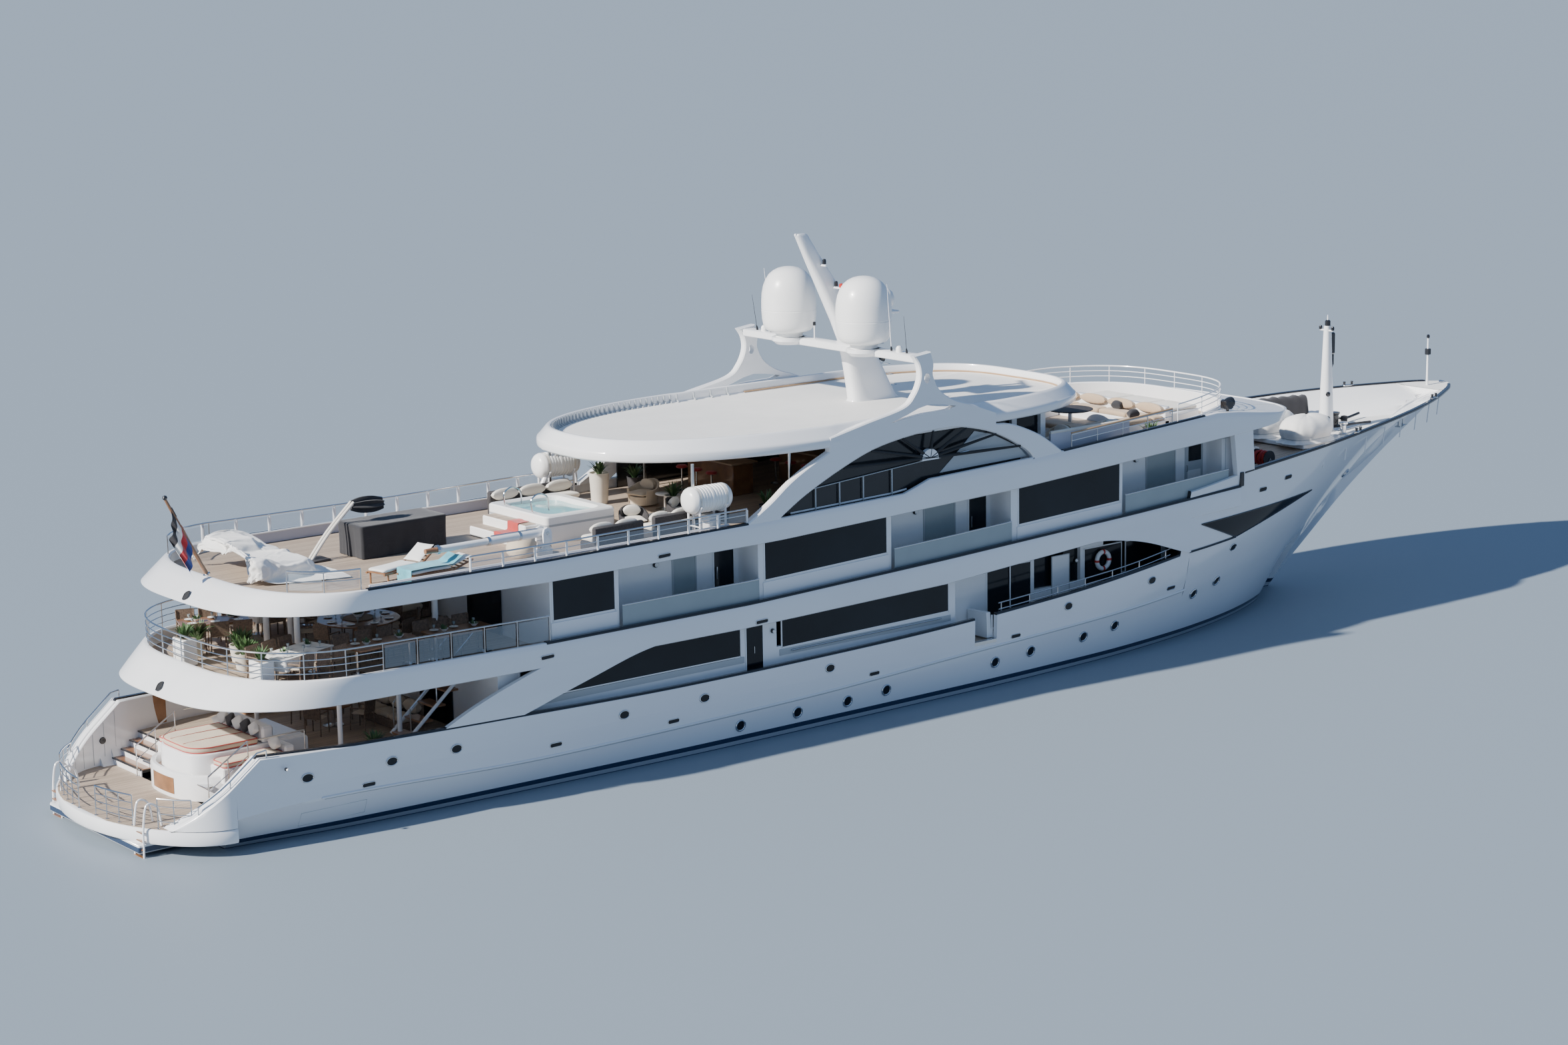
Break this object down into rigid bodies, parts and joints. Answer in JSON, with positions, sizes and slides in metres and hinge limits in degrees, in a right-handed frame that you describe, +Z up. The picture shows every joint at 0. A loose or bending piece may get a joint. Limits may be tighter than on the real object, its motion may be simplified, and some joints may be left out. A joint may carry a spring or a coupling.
{
  "type": "motor yacht, 1:2 scale model",
  "caption": "Three-deck displacement motor yacht with a sundeck, arched hardtop, mast and swim platform, as a half-size scale model with turning running gear, gates, doors and deck crane.",
  "frame": {"origin": "on the centre line amidships, at the waterline", "axes": "+X towards the bow, +Y to port, +Z up"},
  "size_m": [27.15, 4.35, 8.4414],
  "materials": {
    "paint": "gloss white two-part paint",
    "antifouling": "matt dark blue antifouling paint",
    "teak": "laid teak planking with dark caulked seams",
    "tinted_glass": "dark tinted gloss glass",
    "bronze": "polished bronze",
    "dome": "satin white moulded glassfibre",
    "cushion": "beige woven outdoor cloth",
    "cover": "white canvas cover",
    "steel": "polished stainless steel",
    "black_cover": "black canvas cover"
  },
  "bodies": {
    "yacht": {"hull": "paint", "bulwark_port": "paint", "bulwark_starboard": "paint", "bow_bulwark": "paint", "upper_side_plate_port": "paint", "upper_side_plate_starboard": "paint", "upper_stern_plate": "paint", "sundeck_side_plate_port": "paint", "sundeck_side_plate_starboard": "paint", "sundeck_stern_plate": "paint", "sundeck_brow": "paint", "main_deckhouse": "paint", "upper_deckhouse": "paint", "helm_house": "paint", "side_arch_port": "paint", "side_arch_starboard": "paint", "hardtop": "paint", "radar_beam": "paint", "mast": "paint", "spa_tub": "paint", "stern_island": "paint", "foremast": "paint", "swim_platform": "teak", "upper_deck": "teak", "sundeck": "teak", "forward_table": "teak", "dining_table": "teak", "ensign_staff": "teak", "main_glass_port": "tinted_glass", "main_glass_starboard": "tinted_glass", "upper_glass_port": "tinted_glass", "upper_glass_starboard": "tinted_glass", "helm_glass": "tinted_glass", "arch_glass_port": "tinted_glass", "arch_glass_starboard": "tinted_glass", "satcom_dome_port": "dome", "satcom_dome_starboard": "dome", "life_raft_port": "dome", "life_raft_starboard": "dome", "forward_seating": "cushion", "stern_sunpad": "cushion", "covered_lounge": "cover", "windlass_covers": "cover", "covered_bar": "black_cover"},
    "propeller_port": {"propeller_port": "bronze"},
    "propeller_starboard": {"propeller_starboard": "bronze"},
    "rudder_port": {"rudder_port": "antifouling"},
    "rudder_starboard": {"rudder_starboard": "antifouling"},
    "stabiliser_fin_port": {"stabiliser_fin_port": "antifouling"},
    "stabiliser_fin_starboard": {"stabiliser_fin_starboard": "antifouling"},
    "boarding_gate_port": {"boarding_gate_port": "paint"},
    "boarding_gate_starboard": {"boarding_gate_starboard": "paint"},
    "bridge_door_port": {"bridge_door_port": "tinted_glass"},
    "bridge_door_starboard": {"bridge_door_starboard": "tinted_glass"},
    "saloon_door": {"saloon_door": "tinted_glass"},
    "upper_saloon_door": {"upper_saloon_door": "tinted_glass"},
    "radar_scanner": {"radar_scanner": "paint"},
    "crane_post": {"crane_post": "paint"},
    "crane_boom": {"crane_boom": "paint"},
    "foredeck_hatch_lid": {"foredeck_hatch_lid": "paint"}
  },
  "joints": [
    {"name": "propeller_port_spin", "type": "hinge", "parent": "yacht", "child": "propeller_port", "pos_m": [-11.2, 0.875, -0.86], "axis": [0.9958, 0, 0.0915], "continuous": true},
    {"name": "propeller_starboard_spin", "type": "hinge", "parent": "yacht", "child": "propeller_starboard", "pos_m": [-11.2, -0.875, -0.86], "axis": [0.9958, 0, 0.0915], "continuous": true},
    {"name": "rudder_port_turn", "type": "hinge", "parent": "yacht", "child": "rudder_port", "pos_m": [-11.9, 0.875, -0.45], "axis": [0, 0, 1], "range_deg": [-35, 35]},
    {"name": "rudder_starboard_turn", "type": "hinge", "parent": "yacht", "child": "rudder_starboard", "pos_m": [-11.9, -0.875, -0.45], "axis": [0, 0, 1], "range_deg": [-35, 35]},
    {"name": "stabiliser_fin_port_turn", "type": "hinge", "parent": "yacht", "child": "stabiliser_fin_port", "pos_m": [-2.075, 1.525, -0.975], "axis": [0, 0.7071, -0.7071], "range_deg": [-20, 20]},
    {"name": "stabiliser_fin_starboard_turn", "type": "hinge", "parent": "yacht", "child": "stabiliser_fin_starboard", "pos_m": [-2.075, -1.525, -0.975], "axis": [0, -0.7071, -0.7071], "range_deg": [-20, 20]},
    {"name": "boarding_gate_port_swing", "type": "hinge", "parent": "yacht", "child": "boarding_gate_port", "pos_m": [0.619, 2.0587, 1], "axis": [0, 0, 1], "range_deg": [0, 90]},
    {"name": "boarding_gate_starboard_swing", "type": "hinge", "parent": "yacht", "child": "boarding_gate_starboard", "pos_m": [0.619, -2.0587, 1], "axis": [0, 0, 1], "range_deg": [0, 90]},
    {"name": "bridge_door_port_swing", "type": "hinge", "parent": "yacht", "child": "bridge_door_port", "pos_m": [5.6847, 1.5625, 2.75], "axis": [0, 0, 1], "range_deg": [-90, 0]},
    {"name": "bridge_door_starboard_swing", "type": "hinge", "parent": "yacht", "child": "bridge_door_starboard", "pos_m": [5.6847, -1.5625, 2.75], "axis": [0, 0, 1], "range_deg": [0, 90]},
    {"name": "saloon_door_slide", "type": "slide", "parent": "yacht", "child": "saloon_door", "axis": [0, 1, 0], "range_m": [0, 0.8]},
    {"name": "upper_saloon_door_slide", "type": "slide", "parent": "yacht", "child": "upper_saloon_door", "axis": [0, 1, 0], "range_m": [0, 0.8]},
    {"name": "radar_scanner_spin", "type": "hinge", "parent": "yacht", "child": "radar_scanner", "pos_m": [0, 0, 6.075], "axis": [0, 0, 1], "continuous": true},
    {"name": "crane_slew", "type": "hinge", "parent": "yacht", "child": "crane_post", "pos_m": [-7.375, -1.8, 3.25], "axis": [0, 0, 1], "range_deg": [0, 120]},
    {"name": "crane_luff", "type": "hinge", "parent": "crane_post", "child": "crane_boom", "pos_m": [-7.375, -1.8, 3.5], "axis": [0, 1, 0], "range_deg": [0, 60]},
    {"name": "foredeck_hatch_open", "type": "hinge", "parent": "yacht", "child": "foredeck_hatch_lid", "pos_m": [8.4475, 0, 2.5383], "axis": [0, 1, 0], "range_deg": [0, 80]}
  ],
  "couplings": [
    {"joint": "rudder_starboard_turn", "follows": "rudder_port_turn", "ratio": 1}
  ]
}
